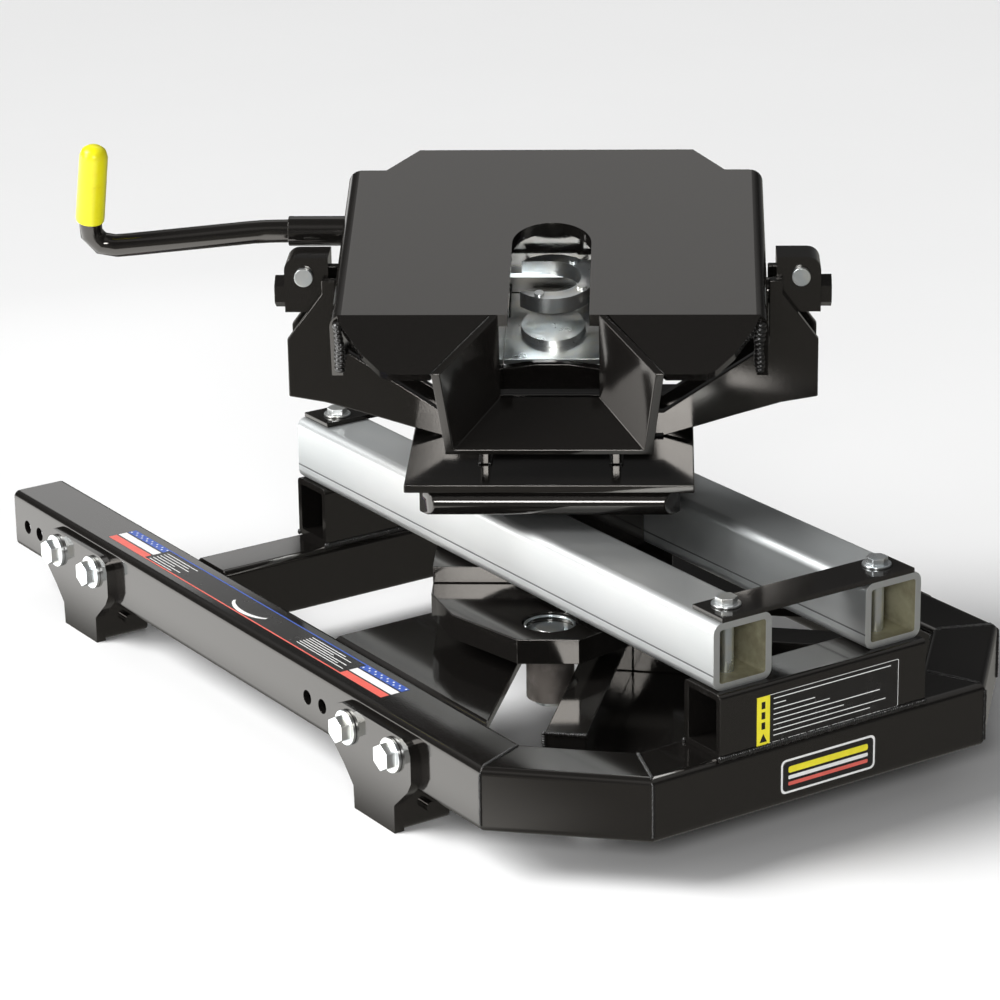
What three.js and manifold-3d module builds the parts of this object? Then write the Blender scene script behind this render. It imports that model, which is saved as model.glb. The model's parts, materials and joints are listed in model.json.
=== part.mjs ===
// Sliding fifth wheel hitch: a bolted base with two way tubes, a carriage that slides on them, a turret
// that turns in the carriage and is steered by a cam arm, a yoke, and a tilting head with its lock.
// Millimetres, +X to the truck's right, +Y to the truck's front, +Z up. The origin is the middle of the
// four feet on the bed floor.
import * as THREE from "three";
import { mergeVertices } from "three/addons/utils/BufferGeometryUtils.js";
import { ConvexGeometry } from "three/addons/geometries/ConvexGeometry.js";
import Module from "manifold-3d";

const wasm = await Module();
wasm.setup();

// Driving dimensions ---------------------------------------------------------------------------------
const DEG = Math.PI / 180;
const FIT = 0.3; // gap between pieces that rest on each other in a turned group
const FACETS = 24; // facets of a full round
const CORNER_FACETS = 3; // facets of a rounded corner

// base frame
const FOOT_PITCH = 562; // front feet to rear feet, centre to centre
const BED_LIFT = 45; // underside of the frame above the bed floor
const BEAM = 60; // frame beams are square
const BEAM_WALL = 6;
const BEAM_RADIUS = 7;
const FRAME_HALF = 289; // half width over the side rails
const RAIL_FRONT = 433;
const CHAMFER_Y = -445; // where the side rails end and the corner beams start
const CHAMFER = 106; // run of each corner beam along X and along Y
const CROSS_REAR = 96; // rear face of the front cross beam
const CROSS_DEPTH = 55;
const BEAM_TOP = BED_LIFT + BEAM;
const MITRE = BEAM * Math.tan(22.5 * DEG); // how far a 45 degree mitre reaches along a beam
const REAR_Y = CHAMFER_Y - CHAMFER;

// feet
const PLATE = 10; // thickness of the foot bracket plate
const BOLT_HALF_SPACING = 38;
const BOLT_Z = 76;
const SPARE_HOLES = [98, 124.5]; // spare holes in front of each foot's centre
const SPARE_Z = 73;

// way tubes and their supports
const TUBE = 62;
const TUBE_WALL = 6.5;
const TUBE_RADIUS = 9;
const TUBE_X = 82.4;
const TUBE_Z = 164.5; // underside of the way tubes
const TUBE_REAR = -541.5;
const TUBE_FRONT = 147;
const SUPPORT_HALF = 113;
const SUPPORT_DEPTH = 52;
const SUPPORT_WALL = 6;
const STRAP_HOLE = 7.3; // radius of the holes for the strap bolts
const STRAP = 4.5; // strap thickness
const STRAP_WIDTH = 43;
const STRAP_HALF = 105;
const TUBE_TOP = TUBE_Z + TUBE;

// cam track: a V of two slots at 45 degrees to the centre line
const ARM_REACH = 177.8; // turret axis to roller axis; the full travel is twice this
const TRACK_APEX = -173;
const SLOT = 55; // slot width, square to the slot
const SLOT_ALONG_Y = SLOT / Math.SQRT2; // half the slot, measured along Y
const TRACK_BAR = 37;
const CAM_PLATE_TOP = 102;
const CAM_PLATE_FRONT = -105;
const PAN_TOP = 66;

// rest pose
const YAW = 36 * DEG; // the head is turned to the truck's right
const TILT = 15 * DEG; // the head is tipped rear down
const CAM_TRIM = -3.8; // evens out the roller's side play over the travel
const CARRIAGE_Y = TRACK_APEX + ARM_REACH * (Math.cos(YAW) - Math.sin(YAW)) + CAM_TRIM;

// carriage and turret
const CARRIAGE_HALF = 75;
const PAD = 4.5; // wear pad thickness
const CARRIAGE_TOP = 241;
const POST_RADIUS = 41;
const ARM_TOP = 145;
const ARM_THICK = 24;
const ROLLER_RADIUS = 22;
const ROLLER_BOTTOM = 73;
const BEARING_TOP = 264.7;
const TURRET_TOP = 273;
const TURRET_HALF = 131;
const TURRET_REAR = -168; // rear and front edges of the turret plate
const TURRET_FRONT = 130;
const BEARING_FRONT = 120;

// yoke
const YOKE_GAP = 20.3; // inner faces of the two yoke plates from the turret axis
const YOKE_PLATE = 9.7;
const HINGE_Z = 406;
const GUSSET_X = 60; // middle of each gusset, and its thickness
const GUSSET = 8;
const BLOCK_IN = 207; // pivot blocks, inner and outer faces
const BLOCK_OUT = 248;
const BLOCK_HALF = 19.8;
const PIN_RADIUS = 12;
const CLAMP_X = 229.6; // clamp bolt of each pivot block
const CLAMP_Z = 425.5;

// head, in its own frame: z = 0 is the top of the head plate over the kingpin axis
const HEAD_RISE = 51; // top of the head plate above the hinge axis
const DECK = 12;
const HEAD_HALF = 197;
const FLANGE = 10;
const FLANGE_DROP = 80; // side flanges below the plate top, at the hinge and at the rear
const FLANGE_REAR_DROP = 64;
const HEAD_BEND = -125.7; // where the plate bends down into the rear skirts
const HEAD_SHOULDER = 136;
const HEAD_FRONT = 175;
const THROAT = 36.6; // half width of the throat
const SKIRT = 60;
const SKIRT_ANGLE = 30 * DEG;
const CHEEK_IN = 45; // lock box walls, inner faces
const CHEEK = 8;
const FUNNEL_DEPTH_FRONT = 87.5; // throat funnel below the plate top, at the bend and at its rear end
const FUNNEL_DEPTH_REAR = 81;
const FUNNEL_FLOOR = 5;
const FLARE_TOP = 96; // inner faces of the funnel's side plates at the rear, top and bottom
const FLARE_LOW = 86;
const RING_TOP = -36;
const RING_THICK = 16;
const RING_OUT = 40;
const RING_IN = 27;
const CRANK = 46; // kingpin axis to the drive stud under the ring
const HANDLE_Y = 67;
const HANDLE_Z = -26;
const HANDLE_RADIUS = 11;

// Materials ------------------------------------------------------------------------------------------
const paint = () => new THREE.MeshStandardMaterial({ color: 0x141416, metalness: 0.3, roughness: 0.3 });
const zinc = () => new THREE.MeshStandardMaterial({ color: 0xc4c8cc, metalness: 0.9, roughness: 0.35 });
const steel = () => new THREE.MeshStandardMaterial({ color: 0x8a8480, metalness: 0.9, roughness: 0.4 });
const nylon = () => new THREE.MeshStandardMaterial({ color: 0x2b2b2d, roughness: 0.6 });
const vinyl = () => new THREE.MeshStandardMaterial({ color: 0xf2c200, roughness: 0.4 });

// Solid helpers --------------------------------------------------------------------------------------
function solid(geometry) {
  const bare = geometry.clone();
  bare.deleteAttribute("normal");
  bare.deleteAttribute("uv");
  const merged = mergeVertices(bare, 1e-4);
  return new wasm.Manifold(
    new wasm.Mesh({
      numProp: 3,
      vertProperties: merged.attributes.position.array,
      triVerts: new Uint32Array(merged.index.array),
    }),
  );
}

function geometryOf(body) {
  const mesh = body.getMesh();
  const geometry = new THREE.BufferGeometry();
  geometry.setAttribute("position", new THREE.BufferAttribute(mesh.vertProperties, 3));
  geometry.setIndex(new THREE.BufferAttribute(mesh.triVerts, 1));
  return geometry;
}

function join(...pieces) {
  return geometryOf(wasm.Manifold.union(pieces.map(solid)));
}

function cut(body, ...tools) {
  return geometryOf(solid(body).subtract(wasm.Manifold.union(tools.map(solid))));
}

function overlap(a, b) {
  return geometryOf(solid(a).intersect(solid(b)));
}

function block(x0, x1, y0, y1, z0, z1) {
  const geometry = new THREE.BoxGeometry(x1 - x0, y1 - y0, z1 - z0);
  return geometry.translate((x0 + x1) / 2, (y0 + y1) / 2, (z0 + z1) / 2);
}

// A round bar along an axis, from `from` to `to` on it, centred on (a, b) in the other two directions.
function round(axis, radius, from, to, a, b, facets = FACETS) {
  const geometry = new THREE.CylinderGeometry(radius, radius, to - from, facets);
  const middle = (from + to) / 2;
  if (axis === "x") return geometry.rotateZ(-90 * DEG).translate(middle, a, b);
  if (axis === "z") return geometry.rotateX(90 * DEG).translate(a, b, middle);
  return geometry.translate(a, middle, b);
}

function outline(points) {
  return new THREE.Shape(points.map(([u, v]) => new THREE.Vector2(u, v)));
}

function extrude(shape, depth) {
  return new THREE.ExtrudeGeometry(shape, { depth, bevelEnabled: false, curveSegments: CORNER_FACETS });
}

// A flat plate: outline in X and Y, from z0 to z1.
function slab(points, z0, z1) {
  return extrude(outline(points), z1 - z0).translate(0, 0, z0);
}

// An upright plate across the truck: outline in X and Z, from y0 to y1.
function wall(shape, y0, y1) {
  return extrude(shape, y1 - y0).rotateX(90 * DEG).translate(0, y1, 0);
}

// An upright plate along the truck: outline in Y and Z, from x0 to x1.
function side(shape, x0, x1) {
  const turn = new THREE.Matrix4().makeBasis(
    new THREE.Vector3(0, 1, 0),
    new THREE.Vector3(0, 0, 1),
    new THREE.Vector3(1, 0, 0),
  );
  return extrude(shape, x1 - x0).applyMatrix4(turn).translate(x0, 0, 0);
}

function hull(points) {
  return new ConvexGeometry(points.map(([x, y, z]) => new THREE.Vector3(x, y, z)));
}

function roundedRect(u0, u1, v0, v1, radius) {
  const shape = new THREE.Shape();
  shape.moveTo(u0 + radius, v0);
  shape.lineTo(u1 - radius, v0);
  shape.absarc(u1 - radius, v0 + radius, radius, -90 * DEG, 0);
  shape.lineTo(u1, v1 - radius);
  shape.absarc(u1 - radius, v1 - radius, radius, 0, 90 * DEG);
  shape.lineTo(u0 + radius, v1);
  shape.absarc(u0 + radius, v1 - radius, radius, 90 * DEG, 180 * DEG);
  shape.lineTo(u0, v0 + radius);
  shape.absarc(u0 + radius, v0 + radius, radius, 180 * DEG, 270 * DEG);
  return shape;
}

// A square tube along Y.
function squareTube(u0, u1, v0, v1, y0, y1, wallThick, radius) {
  const shape = roundedRect(u0, u1, v0, v1, radius);
  const bore = Math.max(radius - wallThick, 1);
  const inner = [u0 + wallThick, u1 - wallThick, v0 + wallThick, v1 - wallThick];
  shape.holes.push(roundedRect(...inner, bore));
  return wall(shape, y0, y1);
}

function mirrorX(geometry) {
  const flipped = geometry.clone();
  const position = flipped.attributes.position;
  for (let i = 0; i < position.count; i++) position.setX(i, -position.getX(i));
  if (!flipped.index) {
    const order = new Uint32Array(position.count);
    for (let i = 0; i < order.length; i++) order[i] = i;
    flipped.setIndex(new THREE.BufferAttribute(order, 1));
  }
  const index = flipped.index.array;
  for (let i = 0; i < index.length; i += 3) [index[i], index[i + 1]] = [index[i + 1], index[i]];
  return flipped;
}

function add(group, name, geometry, material) {
  const mesh = new THREE.Mesh(geometry, material);
  mesh.name = name;
  group.add(mesh);
}

// A left piece and its mirror image.
function addPair(group, name, geometry, material) {
  add(group, name + "_left", geometry, material());
  add(group, name + "_right", mirrorX(geometry), material());
}

// Base frame -----------------------------------------------------------------------------------------
// Every frame beam is a square tube laid along its centre line and trimmed to its mitred plan outline.
function trimmedBeam(length, centreX, centreY, turn, plan) {
  const half = BEAM / 2;
  const tube = squareTube(-half, half, BED_LIFT, BEAM_TOP, -length / 2, length / 2, BEAM_WALL, BEAM_RADIUS);
  tube.rotateZ(turn).translate(centreX, centreY, 0);
  return overlap(tube, slab(plan, 0, 2 * BEAM_TOP));
}

function sideRail() {
  const inner = -FRAME_HALF + BEAM;
  const plan = [
    [-FRAME_HALF - 1, RAIL_FRONT],
    [-FRAME_HALF - 1, CHAMFER_Y - Math.tan(22.5 * DEG)],
    [inner + 1, CHAMFER_Y + MITRE + Math.tan(22.5 * DEG)],
    [inner + 1, RAIL_FRONT],
  ];
  const length = 2 * (RAIL_FRONT - CHAMFER_Y);
  const rail = trimmedBeam(length, -FRAME_HALF + BEAM / 2, 0, 0, plan);
  const holes = [];
  for (const foot of [-FOOT_PITCH / 2, FOOT_PITCH / 2]) {
    for (const y of [foot - BOLT_HALF_SPACING, foot + BOLT_HALF_SPACING]) {
      holes.push(round("x", 8.5, -FRAME_HALF - 5, -FRAME_HALF + 20, y, BOLT_Z));
    }
    for (const offset of SPARE_HOLES) {
      holes.push(round("x", 7, -FRAME_HALF - 5, -FRAME_HALF + 20, foot + offset, SPARE_Z, 20));
    }
  }
  return cut(rail, ...holes);
}

function cornerBeam() {
  const plan = [
    [-FRAME_HALF, CHAMFER_Y],
    [-FRAME_HALF + CHAMFER, REAR_Y],
    [-FRAME_HALF + CHAMFER + MITRE, REAR_Y + BEAM],
    [-FRAME_HALF + BEAM, CHAMFER_Y + MITRE],
  ];
  const middleX = -FRAME_HALF + CHAMFER / 2 + BEAM / 2 / Math.SQRT2;
  const middleY = CHAMFER_Y - CHAMFER / 2 + BEAM / 2 / Math.SQRT2;
  return trimmedBeam(3 * CHAMFER, middleX, middleY, 45 * DEG, plan);
}

function rearBeam() {
  const outer = FRAME_HALF - CHAMFER;
  const plan = [
    [-outer, REAR_Y],
    [outer, REAR_Y],
    [outer - MITRE, REAR_Y + BEAM],
    [-outer + MITRE, REAR_Y + BEAM],
  ];
  return trimmedBeam(2 * FRAME_HALF, 0, REAR_Y + BEAM / 2, 90 * DEG, plan);
}

function frontCrossBeam() {
  const reach = FRAME_HALF - BEAM;
  const shape = roundedRect(CROSS_REAR, CROSS_REAR + CROSS_DEPTH, BED_LIFT, BEAM_TOP, BEAM_RADIUS);
  const hole = roundedRect(
    CROSS_REAR + BEAM_WALL,
    CROSS_REAR + CROSS_DEPTH - BEAM_WALL,
    BED_LIFT + BEAM_WALL,
    BEAM_TOP - BEAM_WALL,
    1,
  );
  shape.holes.push(hole);
  return side(shape, -reach, reach);
}

// Flat plate in front of the V track, with side flanges that stand against the rails.
function camPlate() {
  const half = FRAME_HALF - BEAM;
  const thick = 9;
  const flangeBottom = 62;
  const bend = 8;
  const apex = TRACK_APEX + SLOT_ALONG_Y;
  const plan = [
    [-half, CAM_PLATE_FRONT],
    [-half, apex - half],
    [0, apex],
    [half, apex - half],
    [half, CAM_PLATE_FRONT],
  ];
  const section = new THREE.Shape();
  section.moveTo(-half, flangeBottom);
  section.lineTo(-half + thick, flangeBottom);
  section.lineTo(-half + thick, CAM_PLATE_TOP - thick);
  section.lineTo(half - thick, CAM_PLATE_TOP - thick);
  section.lineTo(half - thick, flangeBottom);
  section.lineTo(half, flangeBottom);
  section.absarc(half - bend, CAM_PLATE_TOP - bend, bend, 0, 90 * DEG);
  section.absarc(-half + bend, CAM_PLATE_TOP - bend, bend, 90 * DEG, 180 * DEG);
  const formed = wall(section, apex - half, CAM_PLATE_FRONT);
  return overlap(formed, slab(plan, 0, 2 * CAM_PLATE_TOP));
}

// The bar behind the slot on the truck's left; it stops short of the corner beam.
function trackBar() {
  const near = TRACK_APEX - SLOT_ALONG_Y;
  const step = TRACK_BAR * Math.SQRT2;
  const reach = 200;
  const end = TRACK_BAR / Math.SQRT2;
  const plan = [
    [0, near],
    [-reach, near - reach],
    [-reach + end, near - reach - end],
    [0, near - step],
  ];
  return slab(plan, PAN_TOP, BEAM_TOP - 1);
}

function trackPan() {
  const near = TRACK_APEX - SLOT_ALONG_Y;
  const innerCorner = FRAME_HALF - CHAMFER - MITRE;
  const innerRear = REAR_Y + BEAM;
  const meet = (near - innerRear + innerCorner) / 2;
  const plan = [
    [0, near],
    [-meet, near - meet],
    [-innerCorner, innerRear],
    [innerCorner, innerRear],
    [meet, near - meet],
  ];
  return slab(plan, PAN_TOP - 6, PAN_TOP);
}

function buildFrame(base) {
  addPair(base, "side_rail", sideRail(), paint);
  addPair(base, "corner_beam", cornerBeam(), paint);
  add(base, "rear_beam", rearBeam(), paint());
  add(base, "front_cross_beam", frontCrossBeam(), paint());
  add(base, "cam_plate", camPlate(), paint());
  addPair(base, "track_bar", trackBar(), paint);
  add(base, "track_pan", trackPan(), paint());
}

// Feet -----------------------------------------------------------------------------------------------
// A bracket plate on the outside of the rail with a hollow foot under the rail.
function footBracket(centreY) {
  const outer = -FRAME_HALF - PLATE;
  const plate = outline([
    [46, 97],
    [58, 92],
    [62, 82],
    [61, 52],
    [44, 37],
    [30, 22],
    [29, 0],
    [-39, 0],
    [-39, 27],
    [-62, 48],
    [-68, 58],
    [-68, 84],
    [-64, 93],
    [-54, 97],
  ]);
  const body = side(plate, outer, -FRAME_HALF);
  const foot = side(roundedRect(-39, 29, 0, BED_LIFT, 8), -FRAME_HALF - 1, -FRAME_HALF + 48);
  const hollow = side(roundedRect(-31, 21, 8, 37, 4), -FRAME_HALF + 8, -FRAME_HALF + 60);
  const stud = round("y", 5, -47, -38, -FRAME_HALF + 24, 20, 12);
  const drilled = [];
  for (const y of [-BOLT_HALF_SPACING, BOLT_HALF_SPACING]) {
    drilled.push(round("x", 8.5, outer - 5, -FRAME_HALF + 5, y, BOLT_Z));
  }
  return cut(join(body, foot, stud), hollow, ...drilled).translate(0, centreY, 0);
}

// Two flange bolts in the nut strip that sits inside the rail.
function footBolts(centreY) {
  const face = -FRAME_HALF - PLATE;
  const strip = -FRAME_HALF + BEAM_WALL;
  const pieces = [block(strip, strip + 8, -60, 60, BOLT_Z - 13, BOLT_Z + 13)];
  for (const y of [-BOLT_HALF_SPACING, BOLT_HALF_SPACING]) {
    pieces.push(round("x", 8, face - 2, strip + 4, y, BOLT_Z, 20));
    pieces.push(round("x", 16.5, face - 3.5, face, y, BOLT_Z));
    pieces.push(round("x", 13, face - 13, face - 3, y, BOLT_Z, 6));
  }
  return join(...pieces).translate(0, centreY, 0);
}

function buildFeet(base) {
  const rows = [
    ["front", FOOT_PITCH / 2],
    ["rear", -FOOT_PITCH / 2],
  ];
  for (const [row, y] of rows) {
    addPair(base, "foot_bracket_" + row, footBracket(y), paint);
    addPair(base, "foot_bolts_" + row, footBolts(y), zinc);
  }
}

// Way tubes ------------------------------------------------------------------------------------------
function tubeSupport(rearY, boltY) {
  const frontY = rearY + SUPPORT_DEPTH;
  const wallThick = SUPPORT_WALL;
  const shape = roundedRect(rearY, frontY, BEAM_TOP, TUBE_Z, 5);
  const inner = [rearY + wallThick, frontY - wallThick, BEAM_TOP + wallThick, TUBE_Z - wallThick];
  shape.holes.push(roundedRect(...inner, 1));
  const holes = [-TUBE_X, TUBE_X].map((x) => {
    return round("z", STRAP_HOLE, TUBE_Z - 2 * wallThick, TUBE_Z + 5, x, boltY, 20);
  });
  return cut(side(shape, -SUPPORT_HALF, SUPPORT_HALF), ...holes);
}

function wayTube(boltYs) {
  const half = TUBE / 2;
  const edges = [-TUBE_X - half, -TUBE_X + half, TUBE_Z, TUBE_TOP];
  const tube = squareTube(...edges, TUBE_REAR, TUBE_FRONT, TUBE_WALL, TUBE_RADIUS);
  const holes = boltYs.map((y) => round("z", STRAP_HOLE, TUBE_Z - 5, TUBE_TOP + 5, -TUBE_X, y, 20));
  return cut(tube, ...holes);
}

function strap(rearY, boltY) {
  const bar = block(-STRAP_HALF, STRAP_HALF, rearY, rearY + STRAP_WIDTH, TUBE_TOP, TUBE_TOP + STRAP);
  const holes = [-TUBE_X, TUBE_X].map((x) => {
    return round("z", STRAP_HOLE, TUBE_TOP - 5, TUBE_TOP + STRAP + 5, x, boltY, 20);
  });
  return cut(bar, ...holes);
}

// Long flange bolt down through the strap and both walls of the tube, with its nut inside the support.
function strapBolt(boltY) {
  const top = TUBE_TOP + STRAP;
  const under = TUBE_Z - SUPPORT_WALL;
  return join(
    round("z", STRAP_HOLE - 0.3, under - 15, top + 1, -TUBE_X, boltY, 20),
    round("z", 13.2, top, top + 2.2, -TUBE_X, boltY),
    round("z", 10, top + 2, top + 8, -TUBE_X, boltY, 6),
    round("z", 11, under - 10, under, -TUBE_X, boltY, 6),
  );
}

function buildWays(base) {
  const rearBolt = -517.5;
  const frontBolt = 121.5;
  const frontSupport = CROSS_REAR + CROSS_DEPTH - SUPPORT_DEPTH;
  add(base, "tube_support_front", tubeSupport(frontSupport, frontBolt), paint());
  add(base, "tube_support_rear", tubeSupport(REAR_Y, rearBolt), paint());
  addPair(base, "way_tube", wayTube([rearBolt, frontBolt]), zinc);
  add(base, "tube_strap_front", strap(TUBE_FRONT - STRAP_WIDTH, frontBolt), paint());
  add(base, "tube_strap_rear", strap(TUBE_REAR - 1, rearBolt), paint());
  addPair(base, "strap_bolt_front", strapBolt(frontBolt), zinc);
  addPair(base, "strap_bolt_rear", strapBolt(rearBolt), zinc);
}

// Carriage -------------------------------------------------------------------------------------------
function carriageBlock() {
  const key = TUBE_X - TUBE / 2 - 1;
  const top = block(-107, 107, -CARRIAGE_HALF, CARRIAGE_HALF, TUBE_TOP + PAD, CARRIAGE_TOP);
  const middle = block(-key, key, -CARRIAGE_HALF, CARRIAGE_HALF, TUBE_Z + 1, TUBE_TOP + PAD + 1);
  return cut(join(top, middle), round("z", POST_RADIUS + 0.5, 100, 300, 0, 0, 48));
}

function buildCarriage(carriage) {
  const inner = -TUBE_X + 27;
  const outer = -TUBE_X - 24;
  const pad = block(outer, inner, -CARRIAGE_HALF, CARRIAGE_HALF, TUBE_TOP + 0.2, TUBE_TOP + PAD);
  add(carriage, "carriage_block", carriageBlock(), paint());
  addPair(carriage, "wear_pad", pad, nylon);
}

// Turret and cam arm ---------------------------------------------------------------------------------
function camArm() {
  const plan = [
    [-28, -222],
    [28, -222],
    [90, -160],
    [112, -106],
    [112, 45],
    [85, 70],
    [-85, 70],
    [-112, 45],
    [-112, -106],
    [-90, -160],
  ];
  const plate = slab(plan, ARM_TOP - ARM_THICK, ARM_TOP);
  return cut(plate, round("z", 25, 100, 200, 0, -ARM_REACH, 40));
}

// Pin that hangs in the arm's hole and carries the roller, with a cap below and a snap ring above.
function rollerPin() {
  const bottom = ARM_TOP - ARM_THICK;
  const y = -ARM_REACH;
  return join(
    round("z", 24.6, bottom + 2, ARM_TOP - 9, 0, y, 40),
    round("z", 10, ROLLER_BOTTOM - 2, bottom + 3, 0, y, 24),
    round("z", 14, ROLLER_BOTTOM - 6, ROLLER_BOTTOM - 1, 0, y, 24),
    round("z", 13, ARM_TOP - 10, ARM_TOP - 5, 0, y, 24),
  );
}

function roller() {
  const y = -ARM_REACH;
  const body = round("z", ROLLER_RADIUS, ROLLER_BOTTOM, ARM_TOP - ARM_THICK - 2, 0, y, 40);
  return cut(body, round("z", 10.4, 0, 200, 0, y, 24));
}

function hubPlate() {
  const plan = [
    [-90, -80],
    [-112, -80],
    [-112, 45],
    [-85, 65],
    [85, 65],
    [112, 45],
    [112, -80],
    [90, -80],
  ];
  const plate = slab(plan, ARM_TOP + FIT, TUBE_Z - 3);
  return cut(plate, round("z", POST_RADIUS + FIT, 100, 200, 0, 0, 48));
}

// Lower turret plate: clipped corners and a full round along its rear edge.
function bearingPlate() {
  const thick = BEARING_TOP - CARRIAGE_TOP - FIT;
  const plan = [
    [-100, -174],
    [100, -174],
    [118, -150],
    [118, 80],
    [104, 94],
    [-104, 94],
    [-118, 80],
    [-118, -150],
  ];
  const roll = roundedRect(TURRET_REAR, BEARING_FRONT, BEARING_TOP - thick, BEARING_TOP, thick / 2 - 0.1);
  return overlap(side(roll, -TURRET_HALF, TURRET_HALF), slab(plan, 0, 2 * BEARING_TOP));
}

function buildTurret(turret) {
  const plate = block(
    -TURRET_HALF,
    TURRET_HALF,
    TURRET_REAR,
    TURRET_FRONT,
    BEARING_TOP + FIT,
    TURRET_TOP,
  );
  const post = round("z", POST_RADIUS, ARM_TOP + FIT, CARRIAGE_TOP, 0, 0, 48);
  add(turret, "turret_plate", plate, paint());
  add(turret, "turret_bearing_plate", bearingPlate(), paint());
  add(turret, "turret_post", post, steel());
  add(turret, "cam_hub_plate", hubPlate(), paint());
  add(turret, "cam_arm", camArm(), paint());
  add(turret, "roller_pin", rollerPin(), zinc());
  add(turret, "cam_roller", roller(), steel());
}

// Yoke -----------------------------------------------------------------------------------------------
function yokeOutline() {
  const half = [
    [104, TURRET_TOP + FIT],
    [171, 294],
    [212, 306],
    [246, 312],
    [246, 367],
    [213, 411],
    [213, 424],
    [200, 424],
    [200, 362],
    [172, 343],
    [103, 297],
  ];
  const other = half.map(([x, z]) => [-x, z]).reverse();
  return outline([...half, ...other]);
}

function pivotBlock() {
  const shape = new THREE.Shape();
  const corner = 12;
  shape.moveTo(-BLOCK_OUT, 391);
  shape.lineTo(-BLOCK_IN, 391);
  shape.lineTo(-BLOCK_IN, 443);
  shape.absarc(-BLOCK_OUT + corner, 443 - corner, corner, 90 * DEG, 180 * DEG);
  const body = wall(shape, -BLOCK_HALF, BLOCK_HALF);
  const pinBore = round("x", PIN_RADIUS + FIT, -BLOCK_OUT - 5, -BLOCK_IN + 5, 0, HINGE_Z);
  const boltBore = round("y", 5.5, -30, 30, -CLAMP_X, CLAMP_Z, 20);
  return cut(body, pinBore, boltBore);
}

function clampBolt() {
  const y = BLOCK_HALF + FIT;
  return join(
    round("y", 5, -y - 2, y + 2, -CLAMP_X, CLAMP_Z, 20),
    round("y", 8.6, -y - 6, -y, -CLAMP_X, CLAMP_Z, 24),
    round("y", 8.6, y, y + 7, -CLAMP_X, CLAMP_Z, 6),
  );
}

function pitchPin() {
  const head = BLOCK_OUT + FIT;
  return join(
    round("x", PIN_RADIUS, -head - 1, -HEAD_HALF + FLANGE + 1, 0, HINGE_Z),
    round("x", 15.5, -head - 10, -head, 0, HINGE_Z, 6),
  );
}

function buildYoke(turret) {
  const shape = yokeOutline();
  const gusset = outline([
    [-YOKE_GAP - YOKE_PLATE - FIT, TURRET_TOP + FIT],
    [-YOKE_GAP - YOKE_PLATE - FIT, 297],
    [-112, 292],
    [-112, TURRET_TOP + FIT],
  ]);
  add(turret, "yoke_rear_plate", wall(shape, -YOKE_GAP - YOKE_PLATE, -YOKE_GAP), paint());
  add(turret, "yoke_front_plate", wall(shape, YOKE_GAP, YOKE_GAP + YOKE_PLATE), paint());
  addPair(turret, "yoke_gusset", side(gusset, -GUSSET_X - GUSSET / 2, -GUSSET_X + GUSSET / 2), paint);
  addPair(turret, "pivot_block", pivotBlock(), paint);
  addPair(turret, "clamp_bolt", clampBolt(), zinc);
  addPair(turret, "pitch_pin", pitchPin(), paint);
}

// Head -----------------------------------------------------------------------------------------------
// Plate and side flanges are one formed sheet; the flanges are deepest at the hinge.
function headShell() {
  const bend = 13;
  const inner = HEAD_HALF - FLANGE;
  const section = new THREE.Shape();
  section.moveTo(-HEAD_HALF, -FLANGE_DROP);
  section.lineTo(-inner, -FLANGE_DROP);
  section.lineTo(-inner, -DECK);
  section.lineTo(inner, -DECK);
  section.lineTo(inner, -FLANGE_DROP);
  section.lineTo(HEAD_HALF, -FLANGE_DROP);
  section.absarc(HEAD_HALF - bend, -bend, bend, 0, 90 * DEG);
  section.absarc(-HEAD_HALF + bend, -bend, bend, 90 * DEG, 180 * DEG);
  const shell = wall(section, HEAD_BEND, HEAD_SHOULDER);
  const profile = outline([
    [HEAD_BEND - 1, 1],
    [HEAD_BEND - 1, -FLANGE_REAR_DROP],
    [-70, -76],
    [-30, -FLANGE_DROP],
    [30, -FLANGE_DROP],
    [HEAD_SHOULDER + 1, -40],
    [HEAD_SHOULDER + 1, 1],
  ]);
  return overlap(shell, side(profile, -2 * HEAD_HALF, 2 * HEAD_HALF));
}

// Rear skirt on the left of the throat, bent down from the plate.
function skirt() {
  const plan = [
    [-CHEEK_IN - CHEEK - 0.5, 0],
    [-190, 0],
    [-184, -14],
    [-166, -40],
    [-150, -56],
    [-142, -SKIRT],
    [-105, -SKIRT],
  ];
  return slab(plan, -DECK, 0).rotateX(SKIRT_ANGLE).translate(0, HEAD_BEND, 0);
}

function headPlate() {
  const nose = [
    [-161, HEAD_SHOULDER - 1],
    [161, HEAD_SHOULDER - 1],
    [161, HEAD_SHOULDER],
    [131, HEAD_FRONT],
    [-131, HEAD_FRONT],
    [-161, HEAD_SHOULDER],
  ];
  const lip = outline([
    [HEAD_FRONT - 14, -DECK],
    [HEAD_FRONT - 3, 0],
    [HEAD_FRONT + 8, -26],
    [HEAD_FRONT - 2, -30],
  ]);
  const left = skirt();
  const body = join(
    headShell(),
    slab(nose, -DECK, 0),
    side(lip, -128, 128),
    left,
    mirrorX(left),
  );
  const inner = HEAD_HALF - FLANGE;
  const tools = [
    round("z", THROAT, -40, 20, 0, 0, 64),
    block(-THROAT, THROAT, 2 * HEAD_BEND, 0, -40, 20),
  ];
  for (const s of [-1, 1]) {
    const from = Math.min(s * (inner - 10), s * (HEAD_HALF + 10));
    const to = Math.max(s * (inner - 10), s * (HEAD_HALF + 10));
    tools.push(round("x", PIN_RADIUS + 0.4, from, to, 0, -HEAD_RISE));
  }
  tools.push(round("x", 14.3, -HEAD_HALF - 10, -inner + 10, HANDLE_Y, HANDLE_Z));
  return cut(body, ...tools);
}

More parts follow.
